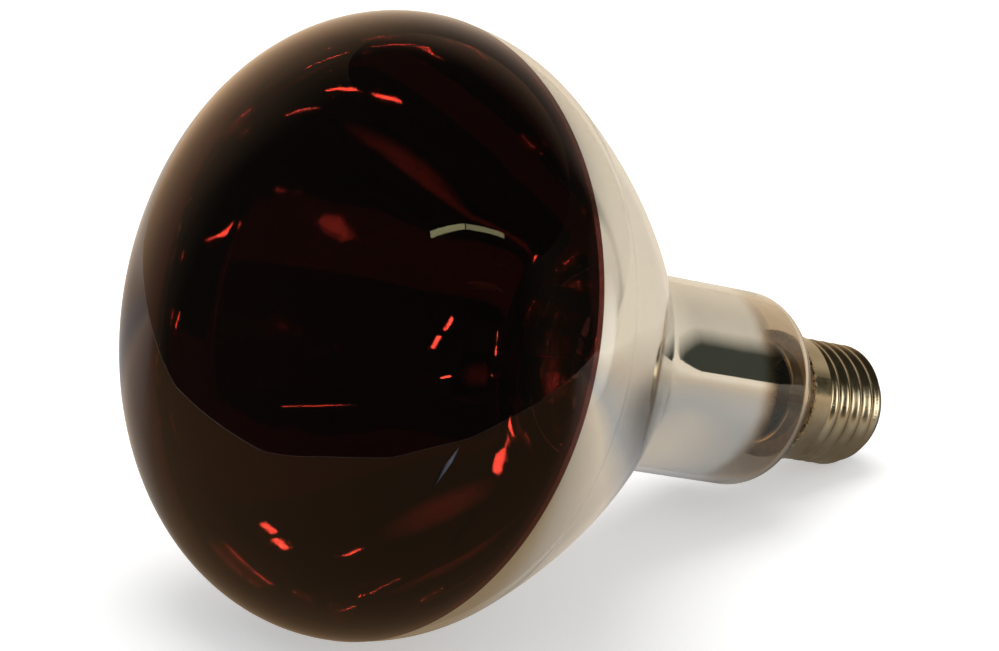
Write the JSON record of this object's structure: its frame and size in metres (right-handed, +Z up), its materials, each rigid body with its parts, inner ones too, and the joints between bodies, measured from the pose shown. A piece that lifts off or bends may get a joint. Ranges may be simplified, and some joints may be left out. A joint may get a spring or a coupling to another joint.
{
  "type": "infrared heat lamp bulb",
  "caption": "Reflector heat lamp lying on its side: ruby front, mirrored bowl and neck, clear shoulder, wired glass stem and a rolled-thread screw cap.",
  "frame": {"origin": "On the surface that the lamp lies on, under the middle of its bounding box.", "axes": "The lamp's axis lies in the YZ plane: the ruby face looks to -Y and a little up, the screw cap points to +Y and about 20 degrees down. +Z is up, and X runs across the bulb."},
  "size_m": [0.125, 0.1778, 0.1204],
  "materials": {
    "bulb_glass": "clear polished blown glass",
    "stem_glass": "clear pressed glass",
    "ruby_coat": "glossy dark ruby filter coat",
    "mirror_coat": "bright aluminised film",
    "shield_metal": "bright rolled sheet",
    "tungsten": "matt coiled wire",
    "lead_wire": "drawn nickel",
    "outer_lead_wire": "drawn copper",
    "support_wire": "drawn molybdenum",
    "nickel_plate": "warm nickel plate on brass",
    "cap_cement": "baked basing cement",
    "insulator_glass": "glossy black cap glass",
    "contact_metal": "plain brass",
    "solder": "dull solder"
  },
  "bodies": {
    "root": {"glass_envelope": "bulb_glass", "ruby_coat": "ruby_coat", "mirror_coat": "mirror_coat", "stem_glass": "stem_glass", "exhaust_tube": "stem_glass", "arbor_rod": "stem_glass", "heat_shield_disc": "shield_metal", "filament": "tungsten", "live_lead": "outer_lead_wire", "return_lead": "outer_lead_wire", "screw_shell": "nickel_plate", "cap_cement": "cap_cement", "cap_insulator": "insulator_glass", "centre_contact": "contact_metal", "contact_solder": "solder", "side_solder": "solder", "filament_clamp_1": "lead_wire", "inner_lead_1": "lead_wire", "filament_clamp_2": "lead_wire", "inner_lead_2": "lead_wire", "support_wire_1": "support_wire", "support_wire_2": "support_wire", "support_wire_3": "support_wire", "support_wire_4": "support_wire"}
  },
  "joints": []
}
